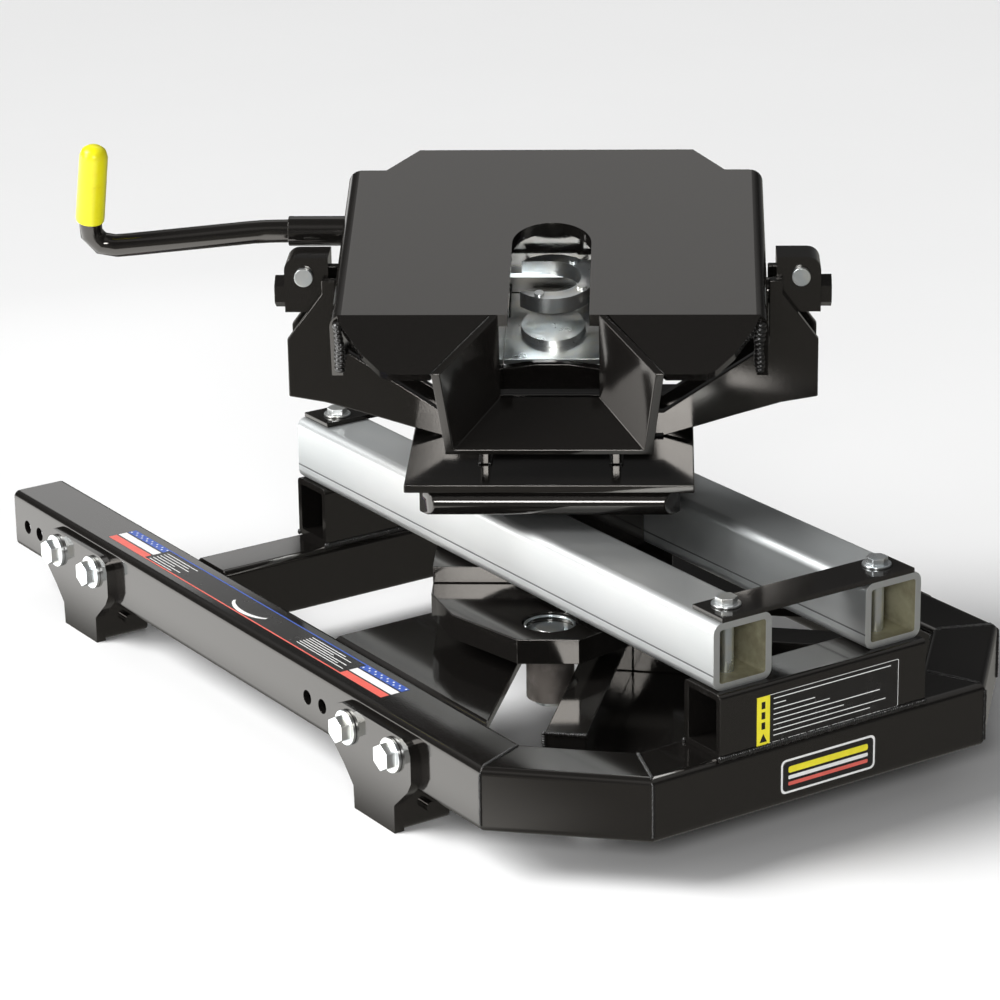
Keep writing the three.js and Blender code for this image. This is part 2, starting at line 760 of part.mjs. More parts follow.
// Throat funnel below the skirts: two flared side plates and a floor that slopes down to the rear.
function funnel() {
  const run = SKIRT * Math.cos(SKIRT_ANGLE);
  const drop = SKIRT * Math.sin(SKIRT_ANGLE);
  const front = HEAD_BEND - FIT;
  const rear = HEAD_BEND - run;
  const topFront = -FIT;
  const topRear = -drop;
  const lowFront = -FUNNEL_DEPTH_FRONT;
  const lowRear = -drop - FUNNEL_DEPTH_REAR;
  const cheek = hull([
    [-CHEEK_IN, front, topFront],
    [-CHEEK_IN - CHEEK, front, topFront],
    [-CHEEK_IN, front, lowFront],
    [-CHEEK_IN - CHEEK, front, lowFront],
    [-FLARE_TOP, rear, topRear],
    [-FLARE_TOP - CHEEK, rear, topRear],
    [-FLARE_LOW, rear, lowRear],
    [-FLARE_LOW - CHEEK, rear, lowRear],
  ]);
  const floor = hull([
    [-CHEEK_IN - 6, front, lowFront],
    [CHEEK_IN + 6, front, lowFront],
    [-CHEEK_IN - 6, front, lowFront - FUNNEL_FLOOR],
    [CHEEK_IN + 6, front, lowFront - FUNNEL_FLOOR],
    [-FLARE_LOW - CHEEK, rear, lowRear],
    [FLARE_LOW + CHEEK, rear, lowRear],
    [-FLARE_LOW - CHEEK, rear, lowRear - FUNNEL_FLOOR],
    [FLARE_LOW + CHEEK, rear, lowRear - FUNNEL_FLOOR],
  ]);
  return join(cheek, mirrorX(cheek), floor);
}

// Lock box: two walls under the plate with a front wall, an arched rear web and two ledges for the ring.
function lockBox() {
  const out = CHEEK_IN + CHEEK;
  const cheek = side(
    outline([
      [HEAD_BEND + 5, -DECK - FIT],
      [HEAD_BEND + 5, -118],
      [-56, -118],
      [-40, -101],
      [76, -101],
      [76, -DECK - FIT],
    ]),
    -out,
    -CHEEK_IN,
  );
  const arch = new THREE.Shape();
  arch.moveTo(-CHEEK_IN - 1, -118);
  arch.lineTo(CHEEK_IN + 1, -118);
  arch.lineTo(CHEEK_IN + 1, -96);
  arch.quadraticCurveTo(0, -84, -CHEEK_IN - 1, -96);
  const ledge = block(-CHEEK_IN - 1, -38, -38, 15, -58, RING_TOP - RING_THICK - 0.4);
  const frontWall = block(-out, out, 68, 76, -101, -DECK - FIT);
  const body = join(
    cheek,
    mirrorX(cheek),
    frontWall,
    wall(arch, -66, -58),
    ledge,
    mirrorX(ledge),
  );
  return cut(body, block(-out - 5, -CHEEK_IN + 5, 34, 58, -64, -53));
}

function lockFloor() {
  const plan = [
    [-CHEEK_IN + FIT, -50],
    [CHEEK_IN - FIT, -50],
    [CHEEK_IN - FIT, 67],
    [-CHEEK_IN + FIT, 67],
  ];
  return join(slab(plan, -101, -95), round("z", 30, -96, -88, 0, 0, 40));
}

// Rotating lock ring; its mouth faces the truck's left when locked and the rear when open.
function lockRing() {
  const bottom = RING_TOP - RING_THICK;
  const disc = round("z", RING_OUT, bottom, RING_TOP, 0, 0, 56);
  const bore = round("z", RING_IN, -100, 0, 0, 0, 48);
  const mouth = block(-2 * RING_OUT, 0, -RING_IN, RING_IN, -100, 0);
  const stud = CRANK * Math.SQRT1_2;
  const ear = hull(
    [
      [14, 30],
      [30, 14],
      [stud - 5, stud + 5],
      [stud + 5, stud - 5],
      [stud + 4, stud + 4],
    ].flatMap(([x, y]) => [
      [x, y, bottom],
      [x, y, RING_TOP - 4],
    ]),
  );
  const pieces = [cut(disc, bore, mouth), ear, round("z", 3.5, -63, bottom + 2, stud, stud, 16)];
  for (const angle of [-110, -35, 55]) {
    const x = 33.5 * Math.cos(angle * DEG);
    const y = 33.5 * Math.sin(angle * DEG);
    pieces.push(round("z", 4.5, RING_TOP - 1, RING_TOP + 2, x, y, 16));
  }
  return join(...pieces);
}

// Slotted drive plate on the end of the handle bar; the slot runs across the pull.
function drivePlate() {
  const stud = CRANK * Math.SQRT1_2;
  const plan = [
    [stud - 10.5, 23],
    [stud + 10.5, 23],
    [stud + 10.5, 55],
    [stud - 10.5, 55],
    [stud - 12, 52],
    [-60, 52],
    [-82, 76],
    [-98, 76],
    [-98, 58],
    [-86, 56],
    [-70, 40],
    [stud - 10.5, 40],
  ];
  const plate = slab(plan, -61.5, -56.5);
  const slot = block(stud - 5.5, stud + 5.5, 28, 50.5, -80, -40);
  const web = block(-98, -90, 58, 76, -61, HANDLE_Z + 8);
  return join(cut(plate, slot), web);
}

const GRIP_LOW = new THREE.Vector3(-438, HANDLE_Y, HANDLE_Z + 10);
const GRIP_HIGH = new THREE.Vector3(-428, HANDLE_Y, HANDLE_Z + 84);

function handleBar() {
  const at = (x, z) => new THREE.Vector3(x, HANDLE_Y, HANDLE_Z + z);
  const path = new THREE.CurvePath();
  path.add(new THREE.LineCurve3(at(-98.3, 0), at(-258, 0)));
  path.add(new THREE.QuadraticBezierCurve3(at(-258, 0), at(-275, 0), at(-292, -2)));
  path.add(new THREE.LineCurve3(at(-292, -2), at(-408, -15)));
  path.add(new THREE.QuadraticBezierCurve3(at(-408, -15), at(-441, -19), GRIP_LOW));
  path.add(new THREE.LineCurve3(GRIP_LOW, GRIP_HIGH));
  const circle = new THREE.Shape();
  circle.absarc(0, 0, HANDLE_RADIUS, 0, 360 * DEG);
  return new THREE.ExtrudeGeometry(circle, {
    steps: 30,
    curveSegments: 8,
    bevelEnabled: false,
    extrudePath: path,
  });
}

function handleGrip() {
  const inner = HANDLE_RADIUS + 0.3;
  const outer = inner + 2;
  const length = 72;
  const profile = [
    [0, length],
    [inner, length],
    [inner, 0],
    [outer, 0],
    [outer + 0.3, 3],
    [outer, length - 3],
    [outer - 2, length + 3],
    [outer - 6, length + 6],
    [0, length + 7],
  ];
  const grip = new THREE.LatheGeometry(
    profile.map(([r, h]) => new THREE.Vector2(r, h)),
    28,
  );
  const along = GRIP_HIGH.clone().sub(GRIP_LOW);
  const upright = new THREE.Vector3(0, 1, 0);
  const start = along.length() - length + FIT;
  const turn = new THREE.Quaternion().setFromUnitVectors(upright, along.normalize());
  grip.applyQuaternion(turn);
  return grip.translate(...GRIP_LOW.clone().addScaledVector(along, start).toArray());
}

function handleSleeve() {
  const body = round("x", 14, -250, -HEAD_HALF + FLANGE - 4, HANDLE_Y, HANDLE_Z);
  return cut(body, round("x", HANDLE_RADIUS + 0.5, -300, -100, HANDLE_Y, HANDLE_Z));
}

function buildHead(deck) {
  add(deck, "head_plate", headPlate(), paint());
  add(deck, "throat_funnel", funnel(), paint());
  add(deck, "lock_box", lockBox(), paint());
  add(deck, "lock_floor", lockFloor(), zinc());
  add(deck, "handle_sleeve", handleSleeve(), paint());
  add(deck, "lock_ring", lockRing(), zinc());
  add(deck, "drive_plate", drivePlate(), zinc());
  add(deck, "handle_bar", handleBar(), paint());
  add(deck, "handle_grip", handleGrip(), vinyl());
}

// Assembly -------------------------------------------------------------------------------------------
const hitch = new THREE.Group();
hitch.name = "fifth_wheel_hitch";
buildFrame(hitch);
buildFeet(hitch);
buildWays(hitch);

const carriage = new THREE.Group();
carriage.position.y = CARRIAGE_Y;
hitch.add(carriage);
buildCarriage(carriage);

const turret = new THREE.Group();
turret.rotation.z = -YAW;
carriage.add(turret);
buildTurret(turret);
buildYoke(turret);

const head = new THREE.Group();
head.position.z = HINGE_Z;
head.rotation.x = TILT;
turret.add(head);

const deck = new THREE.Group();
deck.position.z = HEAD_RISE;
head.add(deck);
buildHead(deck);

export default hitch;
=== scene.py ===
"""Looks of a sliding fifth wheel hitch: coated steel frame, zinc way tubes, turret, yoke and head.

Run as a script; the add-on form keeps each group of pieces in an operator of its own.
"""
import json
import math

import bmesh
import bpy
from bpy.props import FloatProperty, FloatVectorProperty, IntProperty, PointerProperty
from mathutils import Matrix, Vector


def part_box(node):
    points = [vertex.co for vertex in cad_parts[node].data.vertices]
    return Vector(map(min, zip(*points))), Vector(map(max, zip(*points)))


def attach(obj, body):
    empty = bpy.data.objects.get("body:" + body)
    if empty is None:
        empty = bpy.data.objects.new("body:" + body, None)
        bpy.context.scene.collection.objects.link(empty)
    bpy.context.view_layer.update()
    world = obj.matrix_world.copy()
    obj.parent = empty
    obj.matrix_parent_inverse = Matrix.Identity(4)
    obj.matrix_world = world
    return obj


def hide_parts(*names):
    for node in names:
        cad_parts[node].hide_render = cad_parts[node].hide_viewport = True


bl_info = {
    "name": "Fifth Wheel Hitch",
    "version": (1, 0, 0),
    "blender": (4, 5, 0),
    "location": "View3D > Sidebar > Hitch",
    "description": "Finishes the pieces of a sliding fifth wheel hitch and sets its stage",
    "category": "Object",
}

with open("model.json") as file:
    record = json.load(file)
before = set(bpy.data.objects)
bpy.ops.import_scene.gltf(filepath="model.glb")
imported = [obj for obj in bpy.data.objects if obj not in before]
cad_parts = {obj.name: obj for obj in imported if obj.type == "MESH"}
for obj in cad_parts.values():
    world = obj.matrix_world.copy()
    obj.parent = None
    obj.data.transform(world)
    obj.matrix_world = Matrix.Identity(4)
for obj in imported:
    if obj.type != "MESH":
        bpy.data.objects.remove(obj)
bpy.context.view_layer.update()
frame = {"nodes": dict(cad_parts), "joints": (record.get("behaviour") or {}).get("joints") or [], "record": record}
MM = 0.001
DEG = math.pi / 180
BODIES = frame["record"]["behaviour"]["bodies"]
SLOTS = {part["node"]: part["material_slot"] for part in frame["record"]["subparts"]}
JOINTS = {joint["name"]: joint for joint in frame["joints"]}


# Places, worked out from the frame ------------------------------------------------------------------
def body_of(node):
    return next(body for body, nodes in BODIES.items() if node in nodes)


def unit(values):
    return Vector(values).normalized()


DECK_UP = unit(JOINTS["lock_ring_turn"]["axis"])  # square to the head plate
HEAD_LEFT = unit(JOINTS["handle_slide"]["axis"])  # the way the handle pulls out
HEAD_FRONT = HEAD_LEFT.cross(DECK_UP)
DECK_FRAME = Matrix((-HEAD_LEFT, HEAD_FRONT, DECK_UP)).transposed().to_4x4()
DECK_FRAME.translation = Vector(JOINTS["lock_ring_turn"]["pos_m"])
TURRET_FRONT = Vector((0, 0, 1)).cross(-HEAD_LEFT)
TURRET_FRAME = Matrix((-HEAD_LEFT, TURRET_FRONT, Vector((0, 0, 1)))).transposed().to_4x4()
TURRET_FRAME.translation = Vector(JOINTS["head_pitch"]["pos_m"]) * Vector((1, 1, 0))


# Settings -------------------------------------------------------------------------------------------
def length(name, default, description, low=0.0, high=2.0):
    return FloatProperty(
        name=name, default=default, min=low, max=high, unit="LENGTH", description=description
    )


def colour(name, default, description):
    return FloatVectorProperty(
        name=name, default=default, size=3, subtype="COLOR", min=0, max=1, description=description
    )


class HitchSizes(bpy.types.PropertyGroup):
    plate_edge: length("Plate edge", 1.2 * MM, "Width of the broken edge on sawn and flame-cut plates")
    bend_edge: length("Bend edge", 3.5 * MM, "Width of the bend where the head plate turns down")
    fine_edge: length("Fine edge", 0.5 * MM, "Width of the broken edge on turned and zinc-plated pieces")
    weld_radius: length("Weld radius", 3.0 * MM, "Half width of a welding bead")
    weld_step: length("Weld step", 2.4 * MM, "Distance from one ripple of a bead to the next")
    film: length("Film", 0.25 * MM, "Thickness of the label films")


class HitchColours(bpy.types.PropertyGroup):
    coat: colour("Coat", (0.0075, 0.0068, 0.0062), "Black powder coat on the steel")
    zinc: colour("Zinc", (0.76, 0.78, 0.78), "Bright zinc on tubes and bolts")
    steel: colour("Steel", (0.33, 0.30, 0.28), "Turned steel of the roller and the post")
    grip: colour("Grip", (0.95, 0.83, 0.006), "Dipped vinyl on the handle")
    nylon: colour("Nylon", (0.03, 0.03, 0.032), "Nylon wear pads")
    label_red: colour("Label red", (0.78, 0.13, 0.10), "Red bars on the labels")
    label_blue: colour("Label blue", (0.03, 0.09, 0.42), "Blue fields on the labels")
    label_white: colour("Label white", (0.85, 0.85, 0.84), "White bars and lines on the labels")
    label_yellow: colour("Label yellow", (0.88, 0.78, 0.02), "Warning yellow on the labels")


# Shader nodes ---------------------------------------------------------------------------------------
class Value:
    """A socket of a material, with the operators that shader maths uses."""

    def __init__(self, finish, socket):
        self.finish = finish
        self.socket = socket

    def math(self, operation, *values, clamp=False):
        sockets = dict(enumerate(values))
        settings = {"operation": operation, "use_clamp": clamp}
        return self.finish.node("ShaderNodeMath", settings, sockets)

    def __add__(self, other):
        return self.math("ADD", self, other)

    __radd__ = __add__

    def __sub__(self, other):
        return self.math("SUBTRACT", self, other)

    def __rsub__(self, other):
        return self.math("SUBTRACT", other, self)

    def __mul__(self, other):
        return self.math("MULTIPLY", self, other)

    __rmul__ = __mul__

    def __truediv__(self, other):
        return self.math("DIVIDE", self, other)

    def over(self, edge, soft):
        """0 below edge - soft, 1 above edge + soft, and smooth between them."""
        return self.finish.node(
            "ShaderNodeMapRange",
            {"interpolation_type": "SMOOTHSTEP"},
            {"Value": self, "From Min": edge - soft, "From Max": edge + soft},
        )


class Finish:
    """One material and its nodes."""

    def __init__(self, name):
        self.material = bpy.data.materials.new(name)
        self.material.use_nodes = True
        self.tree = self.material.node_tree
        self.tree.nodes.clear()

    def node(self, kind, settings=None, sockets=None, out=0):
        node = self.tree.nodes.new(kind)
        for name, value in (settings or {}).items():
            if name == "stops":
                self.set_stops(node.color_ramp, value)
            else:
                setattr(node, name, value)
        for name, value in (sockets or {}).items():
            socket = node.inputs[name]
            if isinstance(value, Value):
                self.tree.links.new(value.socket, socket)
            else:
                socket.default_value = value
        return Value(self, node.outputs[out])

    @staticmethod
    def set_stops(ramp, stops):
        while len(ramp.elements) < len(stops):
            ramp.elements.new(1.0)
        for element, (place, tone) in zip(ramp.elements, stops):
            element.position = place
            element.color = (*tone, 1.0)

    def place(self, scale=(1, 1, 1), turn=(0, 0, 0), shift=(0, 0, 0)):
        where = self.node("ShaderNodeTexCoord", out=3)
        sockets = {"Vector": where, "Scale": scale, "Rotation": turn, "Location": shift}
        return self.node("ShaderNodeMapping", None, sockets)

    def noise(self, scale, detail=3, rough=0.5, where=None):
        sockets = {"Vector": where or self.place(), "Scale": scale, "Detail": detail, "Roughness": rough}
        return self.node("ShaderNodeTexNoise", None, sockets)

    def mix(self, factor, first, second):
        """A colour between first and second."""
        sockets = {0: factor, 6: self.tone(first), 7: self.tone(second)}
        return self.node("ShaderNodeMix", {"data_type": "RGBA"}, sockets, out=2)

    @staticmethod
    def tone(value):
        return value if isinstance(value, Value) else (*value, 1.0)

    def bump(self, height, strength, distance, normal=None):
        sockets = {"Height": height, "Strength": strength, "Distance": distance}
        if normal is not None:
            sockets["Normal"] = normal
        return self.node("ShaderNodeBump", None, sockets)

    def surface(self, **sockets):
        named = {name.replace("_", " "): value for name, value in sockets.items()}
        shader = self.node("ShaderNodeBsdfPrincipled", None, named)
        self.node_output(shader)
        return self.material

    def node_output(self, shader):
        output = self.tree.nodes.new("ShaderNodeOutputMaterial")
        self.tree.links.new(shader.socket, output.inputs["Surface"])


# Materials ------------------------------------------------------------------------------------------
def coat_finish(name, tone, gloss=0.07, peel=0.03):
    """Black powder coat: a faint orange peel, a little dust and rare light specks."""
    finish = Finish(name)
    peel_height = finish.noise(520, 2)
    ripple = finish.noise(60, 2)
    cloud = finish.noise(9, 4, 0.6)
    dust = finish.noise(900, 2).over(0.72, 0.05) * cloud.over(0.5, 0.2)
    shade = finish.mix(dust * 0.2, tone, (0.07, 0.063, 0.057))
    dull = finish.noise(24, 5, 0.65)
    normal = finish.bump(peel_height + ripple * 0.8, peel, 0.4 * MM)
    return finish.surface(
        Base_Color=shade,
        Roughness=gloss + 0.05 * dull + 0.2 * dust,
        Specular_IOR_Level=0.8,
        Specular_Tint=(1.0, 0.955, 0.90, 1.0),
        Normal=normal,
    )


def bead_finish(name, tone):
    """Painted welding bead: the coat over a rippled, slightly pitted surface."""
    finish = Finish(name)
    pits = finish.noise(700, 4, 0.6)
    spatter = finish.noise(260, 3).over(0.62, 0.06)
    shade = finish.mix(spatter * 0.4, tone, (0.05, 0.047, 0.044))
    return finish.surface(
        Base_Color=shade,
        Roughness=0.18 + 0.22 * pits,
        Specular_IOR_Level=0.6,
        Coat_Weight=0.3,
        Coat_Roughness=0.1,
        Normal=finish.bump(pits + spatter, 0.35, 0.5 * MM),
    )


def zinc_tube_finish(name, tone, seam_height):
    """Zinc on drawn tube: long draw marks, a soft bloom and the fine line of the rolled seam."""
    finish = Finish(name)
    drawn = finish.noise(1, 6, 0.7, finish.place(scale=(420, 3.0, 420)))
    bloom = finish.noise(7, 5, 0.6, finish.place(scale=(1, 0.35, 1)))
    frost = finish.noise(260, 3)
    tint = finish.noise(3.0, 3, 0.5, finish.place(shift=(4, 2, 1)))
    where = finish.node("ShaderNodeTexCoord", out=3)
    height = finish.node("ShaderNodeSeparateXYZ", None, {0: where}, out=2)
    off_line = (height - seam_height).math("ABSOLUTE", height - seam_height)
    facing = finish.node("ShaderNodeNewGeometry", out=1)
    leftward = finish.node("ShaderNodeSeparateXYZ", None, {0: facing}, out=0)
    line = (1 - off_line.over(0.7 * MM, 0.35 * MM)) * (leftward * -1.0).over(0.8, 0.1)
    base = finish.mix(tint.over(0.5, 0.2), tone, (0.70, 0.735, 0.74))
    base = finish.mix(bloom.over(0.55, 0.2) * 0.35, base, (0.86, 0.85, 0.82))
    base = finish.mix(line * 0.85, base, (0.10, 0.10, 0.11))
    rough = 0.27 + 0.14 * bloom + 0.07 * frost + 0.08 * drawn
    normal = finish.bump(drawn + frost * 0.25 - line * 2.0, 0.12, 0.3 * MM)
    return finish.surface(Base_Color=base, Metallic=0.92, Roughness=rough, Normal=normal)


def tube_bore_finish(name):
    """The inside of the tubes: duller zinc with a faint olive chromate and run marks, its base colour darkened as
    painted shade of the bore.
    """
    finish = Finish(name)
    runs = finish.noise(1, 5, 0.65, finish.place(scale=(160, 5, 160)))
    stain = finish.noise(22, 5, 0.65)
    # dark olive base: the chromate's own tint, darkened further as painted shade inside the tube
    base = finish.mix(stain.over(0.5, 0.2), (0.24, 0.22, 0.14), (0.46, 0.44, 0.30))
    normal = finish.bump(runs + stain * 0.5, 0.25, 0.4 * MM)
    return finish.surface(
        Base_Color=base, Metallic=0.35, Roughness=0.5 + 0.15 * runs, Normal=normal
    )


def zinc_finish(name, tone, rough=0.22):
    """Zinc on bolts and lock pieces: bright, with a faint blue and straw bloom."""
    finish = Finish(name)
    bloom = finish.noise(45, 4, 0.6)
    grain = finish.noise(600, 3)
    warm = finish.noise(28, 3, 0.5, finish.place(shift=(3, 5, 7)))
    base = finish.mix(warm.over(0.52, 0.12) * 0.5, tone, (0.62, 0.70, 0.74))
    base = finish.mix(bloom.over(0.56, 0.1) * 0.45, base, (0.80, 0.78, 0.68))
    normal = finish.bump(grain + bloom * 2.0, 0.14, 0.25 * MM)
    return finish.surface(
        Base_Color=base, Metallic=0.95, Roughness=rough + 0.16 * bloom, Normal=normal
    )


def steel_finish(name, tone, centre):
    """Turned steel: rings about the piece's own axis under a thin film of grease."""
    finish = Finish(name)
    where = finish.place(shift=(-centre[0], -centre[1], 0))
    rings = finish.node(
        "ShaderNodeTexWave",
        {"wave_type": "BANDS", "bands_direction": "Z"},
        {"Vector": where, "Scale": 260.0, "Distortion": 1.2, "Detail": 2.0},
        out=1,
    )
    grease = finish.noise(30, 4, 0.6)
    smear = grease.over(0.55, 0.08)
    base = finish.mix(smear * 0.6, tone, (0.09, 0.075, 0.06))
    return finish.surface(
        Base_Color=base,
        Metallic=0.9 - 0.5 * smear,
        Roughness=0.28 + 0.2 * grease,
        Normal=finish.bump(rings + grease, 0.12, 0.3 * MM),
    )


def nylon_finish(name, tone):
    finish = Finish(name)
    grain = finish.noise(420, 4, 0.6)
    rub = finish.noise(1, 3, 0.6, finish.place(scale=(120, 8, 120)))
    base = finish.mix(rub.over(0.6, 0.1) * 0.5, tone, (0.10, 0.10, 0.10))
    return finish.surface(
        Base_Color=base, Roughness=0.45 + 0.2 * grain, Normal=finish.bump(grain + rub, 0.2, 0.3 * MM)
    )


def grip_finish(name, tone):
    """Dipped vinyl: soft sheen, slow waves in the skin and a little hand dirt."""
    finish = Finish(name)
    skin = finish.noise(70, 2)
    pores = finish.noise(900, 2)
    dirt = finish.noise(60, 5, 0.7).over(0.66, 0.08)
    base = finish.mix(skin.over(0.5, 0.25), tone, (0.98, 0.90, 0.012))
    base = finish.mix(dirt * 0.25, base, (0.35, 0.20, 0.01))
    return finish.surface(
        Base_Color=base,
        Roughness=0.26 + 0.1 * skin + 0.2 * dirt,
        Subsurface_Weight=0.06,
        Normal=finish.bump(skin * 2.0 + pores * 0.3, 0.15, 0.5 * MM),
    )


def film_finish(name, tone, gloss=0.3):
    """Printed vinyl film: a slight unevenness of ink and a satin face."""
    finish = Finish(name)
    ink = finish.noise(90, 3, 0.5)
    light = tuple(min(1.0, part * 1.12 + 0.004) for part in tone)
    base = finish.mix(ink.over(0.5, 0.3), tone, light)
    return finish.surface(
        Base_Color=base, Roughness=gloss + 0.08 * ink, Normal=finish.bump(ink, 0.04, 0.2 * MM)
    )


def make_finishes():
    """All the materials by name: the record's slots and the looks that only scene pieces have."""
    tones = bpy.context.scene.hitch_colours
    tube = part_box("way_tube_left")
    seam_height = tube[0].z + 0.237 * (tube[1].z - tube[0].z)
    roller = JOINTS["cam_roller_spin"]["pos_m"]
    return {
        "black_paint": coat_finish("black_coat", tones.coat),
        "bead": bead_finish("painted_bead", tones.coat),
        "tube": zinc_tube_finish("zinc_tube", tones.zinc, seam_height),
        "tube_bore": tube_bore_finish("zinc_tube_bore"),
        "zinc": zinc_finish("zinc_hardware", tones.zinc),
        "bare_steel": steel_finish("turned_steel", tones.steel, roller),
        "nylon": nylon_finish("nylon", tones.nylon),
        "yellow_vinyl": grip_finish("yellow_vinyl", tones.grip),
        "film": film_finish("label_film", (0.012, 0.011, 0.010), 0.22),
        "red": film_finish("label_red", tones.label_red),
        "blue": film_finish("label_blue", tones.label_blue),
        "white": film_finish("label_white", tones.label_white),
        "yellow": film_finish("label_yellow", tones.label_yellow),
    }


FINISHES = {}


def finish(name):
    if not FINISHES:
        FINISHES.update(make_finishes())
    return FINISHES[name]


# Mesh helpers ---------------------------------------------------------------------------------------
def new_object(name, mesh):
    piece = bpy.data.objects.new(name, mesh)
    bpy.context.scene.collection.objects.link(piece)
    return piece


def applied(piece):
    """The piece's modifiers become its mesh."""
    graph = bpy.context.evaluated_depsgraph_get()
    graph.update()
    mesh = bpy.data.meshes.new_from_object(piece.evaluated_get(graph), depsgraph=graph)
    old = piece.data
    piece.modifiers.clear()
    piece.data = mesh
    if old.users == 0:
        bpy.data.meshes.remove(old)
    return piece


def edged_copy(node, width, segments=2, angle=38 * DEG, clamp=True):
    """A merged copy of a CAD node with its sharp edges broken; it stands for the node."""
    mesh = frame["nodes"][node].data.copy()
    body = bmesh.new()
    body.from_mesh(mesh)
    bmesh.ops.remove_doubles(body, verts=body.verts, dist=0.01 * MM)
    bmesh.ops.dissolve_limit(body, angle_limit=0.6 * DEG, verts=body.verts, edges=body.edges)
    for face in body.faces:
        face.smooth = True
        face.material_index = 0
    body.to_mesh(mesh)
    body.free()
    mesh.materials.clear()
    mesh.materials.append(finish(SLOTS[node]))
    piece = new_object("finished_" + node, mesh)
    bevel = piece.modifiers.new("edges", "BEVEL")
    bevel.width = width
    bevel.segments = segments
    bevel.limit_method = "ANGLE"
    bevel.angle_limit = angle
    bevel.use_clamp_overlap = clamp
    bevel.miter_outer = "MITER_ARC"
    normals = piece.modifiers.new("normals", "WEIGHTED_NORMAL")
    normals.mode = "FACE_AREA"
    normals.keep_sharp = True
    applied(piece)
    return piece


def stand_for(piece, node):
    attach(piece, body_of(node))
    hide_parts(node)
    return piece


def edged(nodes, width, look=None, **settings):
    pieces = []
    for node in nodes:
        piece = edged_copy(node, width, **settings)
        if look:
            piece.data.materials[0] = finish(look)
        pieces.append(stand_for(piece, node))
    return pieces


def pair(name):
    return [name + "_left", name + "_right"]


def mesh_of(body, name, looks):
    """A mesh from a bmesh, with its materials in order."""
    mesh = bpy.data.meshes.new(name)
    body.normal_update()
    body.to_mesh(mesh)
    body.free()
    for look in looks:
        mesh.materials.append(finish(look))
    return mesh


def added(piece, body):
    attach(piece, body)
    return piece


# Welding beads, made by a Geometry Nodes tree -------------------------------------------------------
def tree_node(tree, kind, settings=None, sockets=None):
    node = tree.nodes.new(kind)
    for name, value in (settings or {}).items():
        setattr(node, name, value)
    for name, value in (sockets or {}).items():
        if isinstance(value, bpy.types.NodeSocket):
            tree.links.new(value, node.inputs[name])
        else:
            node.inputs[name].default_value = value
    return node


def bead_tree():
    """Ripples along edges: each is a flattened drop, a little different in size and turn."""
    tree = bpy.data.node_groups.new("weld_bead", "GeometryNodeTree")
    sides = tree.interface
    sides.new_socket("Geometry", in_out="INPUT", socket_type="NodeSocketGeometry")
    sides.new_socket("Radius", in_out="INPUT", socket_type="NodeSocketFloat")
    sides.new_socket("Step", in_out="INPUT", socket_type="NodeSocketFloat")
    sides.new_socket("Seed", in_out="INPUT", socket_type="NodeSocketInt")
    sides.new_socket("Material", in_out="INPUT", socket_type="NodeSocketMaterial")
    sides.new_socket("Geometry", in_out="OUTPUT", socket_type="NodeSocketGeometry")
    given = tree_node(tree, "NodeGroupInput").outputs
    line = tree_node(tree, "GeometryNodeMeshToCurve", None, {"Mesh": given["Geometry"]})
    spaced = tree_node(
        tree,
        "GeometryNodeResampleCurve",
        {"mode": "LENGTH"},
        {"Curve": line.outputs["Curve"], "Length": given["Step"]},
    )
    drop = tree_node(tree, "GeometryNodeMeshIcoSphere", None, {"Radius": 1.0, "Subdivisions": 2})
    shaped = tree_node(
        tree,
        "GeometryNodeTransform",
        None,
        {"Geometry": drop.outputs["Mesh"], "Scale": (1.0, 0.72, 0.62)},
    )
    tangent = tree_node(tree, "GeometryNodeInputTangent")
    turn = tree_node(
        tree, "FunctionNodeAlignRotationToVector", {"axis": "Z"}, {"Vector": tangent.outputs["Tangent"]}
    )
    size = tree_node(
        tree,
        "FunctionNodeRandomValue",
        {"data_type": "FLOAT"},
        {"Min": 0.86, "Max": 1.14, "Seed": given["Seed"]},
    )
    scale = tree_node(
        tree, "ShaderNodeMath", {"operation": "MULTIPLY"}, {0: size.outputs[1], 1: given["Radius"]}
    )
    drops = tree_node(
        tree,
        "GeometryNodeInstanceOnPoints",
        None,
        {
            "Points": spaced.outputs["Curve"],
            "Instance": shaped.outputs["Geometry"],
            "Rotation": turn.outputs["Rotation"],
            "Scale": scale.outputs["Value"],
        },
    )
    real = tree_node(
        tree, "GeometryNodeRealizeInstances", None, {"Geometry": drops.outputs["Instances"]}
    )
    smooth = tree_node(
        tree, "GeometryNodeSetShadeSmooth", None, {"Geometry": real.outputs["Geometry"]}
    )
    coated = tree_node(
        tree,
        "GeometryNodeSetMaterial",
        None,
        {"Geometry": smooth.outputs["Geometry"], "Material": given["Material"]},
    )
    output = tree_node(tree, "NodeGroupOutput")
    tree.links.new(coated.outputs["Geometry"], output.inputs["Geometry"])
    return tree


def set_inputs(modifier, values):
    """Sets a Geometry Nodes modifier's inputs by their socket identifiers."""
    for item in modifier.node_group.interface.items_tree:
        if item.item_type == "SOCKET" and item.in_out == "INPUT" and item.name in values:
            modifier[item.identifier] = values[item.name]


def beads(name, body, lines, scale=1.0, seed=1):
    """Welding beads along the given lines, each a list of points in the row frame."""
    sizes = bpy.context.scene.hitch_sizes
    mesh = bpy.data.meshes.new(name)
    points = [Vector(point) for line in lines for point in line]
    edges = []
    start = 0
    for line in lines:
        edges += [(start + step, start + step + 1) for step in range(len(line) - 1)]
        start += len(line)
    mesh.from_pydata(points, edges, [])
    piece = new_object(name, mesh)
    tree = bpy.data.node_groups.get("weld_bead") or bead_tree()
    modifier = piece.modifiers.new("bead", "NODES")
    modifier.node_group = tree
    values = {
        "Radius": sizes.weld_radius * scale,
        "Step": sizes.weld_step * scale,
        "Seed": seed,
        "Material": finish("bead"),
    }
    set_inputs(modifier, values)
    applied(piece)
    return added(piece, body)


